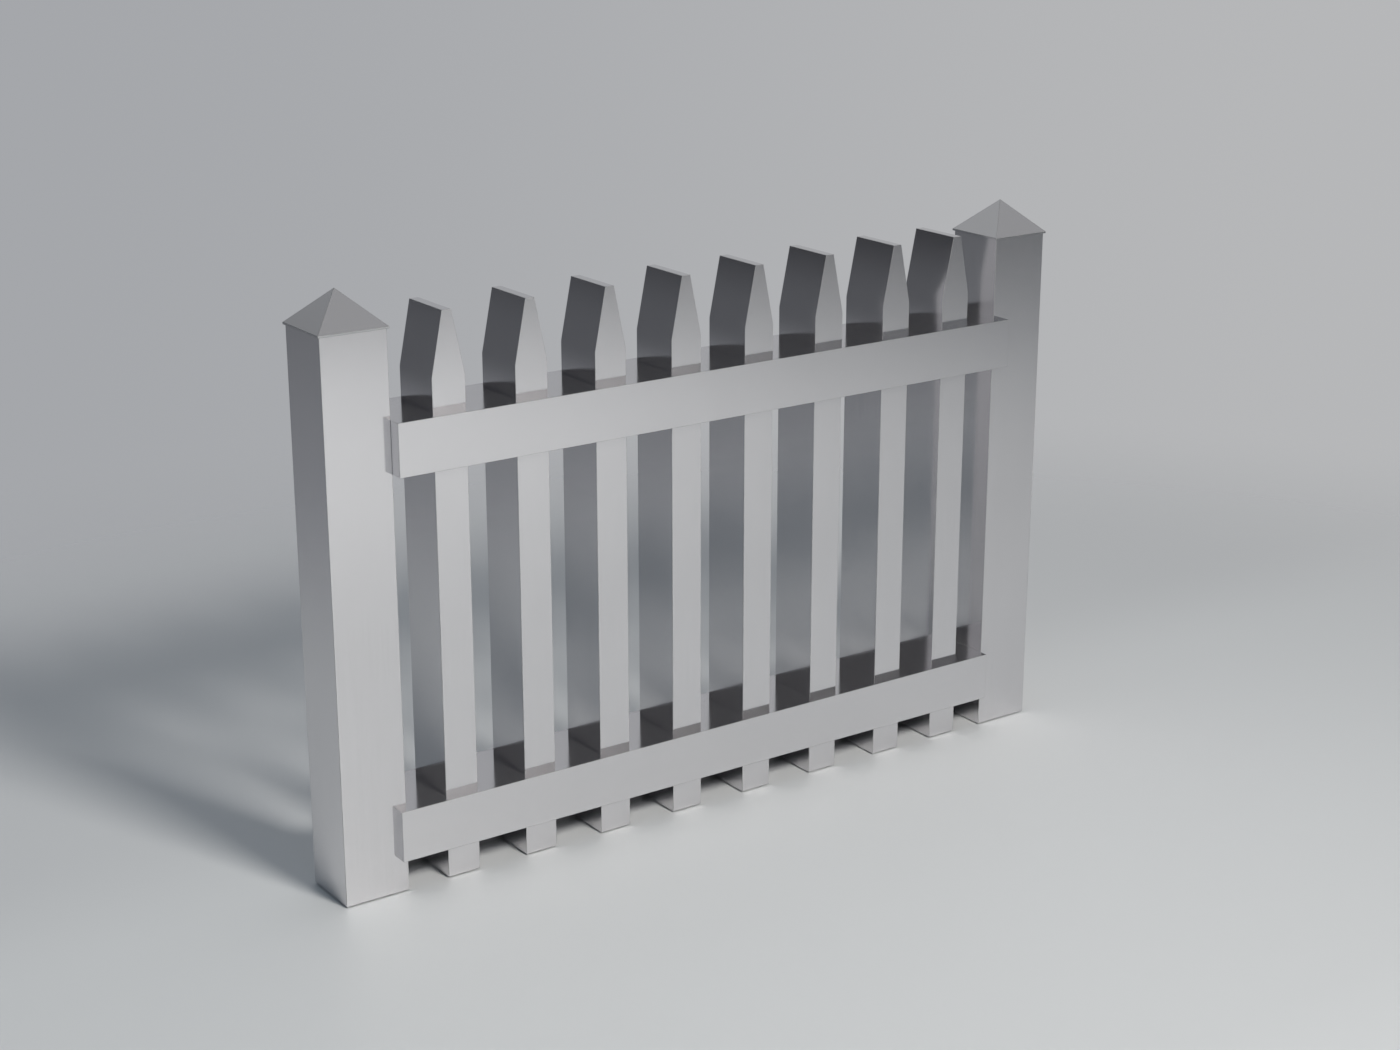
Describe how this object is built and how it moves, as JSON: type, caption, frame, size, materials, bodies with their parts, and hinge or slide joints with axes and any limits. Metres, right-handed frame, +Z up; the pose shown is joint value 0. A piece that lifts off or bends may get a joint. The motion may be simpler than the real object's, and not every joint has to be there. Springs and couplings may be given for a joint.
{
  "type": "picket fence panel",
  "caption": "Picket fence panel of satin metal: capped square posts, deep rails and upright pickets with tapered flat-topped heads that pass through the rails.",
  "frame": {"origin": "centre of the left post's foot, at ground level", "axes": "+X along the panel towards the right post, +Y from the front face to the back, +Z up"},
  "size_m": [1.808, 0.19, 1.23],
  "materials": {
    "posts": "satin, brushed along the length",
    "caps": "satin, brushed down the slopes",
    "rails": "satin, brushed along the length",
    "pickets": "satin, brushed along the length"
  },
  "bodies": {
    "root": {"left_post": "posts", "right_post": "posts", "left_post_cap": "caps", "right_post_cap": "caps", "upper_rail": "rails", "lower_rail": "rails", "picket_1": "pickets", "picket_2": "pickets", "picket_3": "pickets", "picket_4": "pickets", "picket_5": "pickets", "picket_6": "pickets", "picket_7": "pickets", "picket_8": "pickets"}
  },
  "joints": []
}
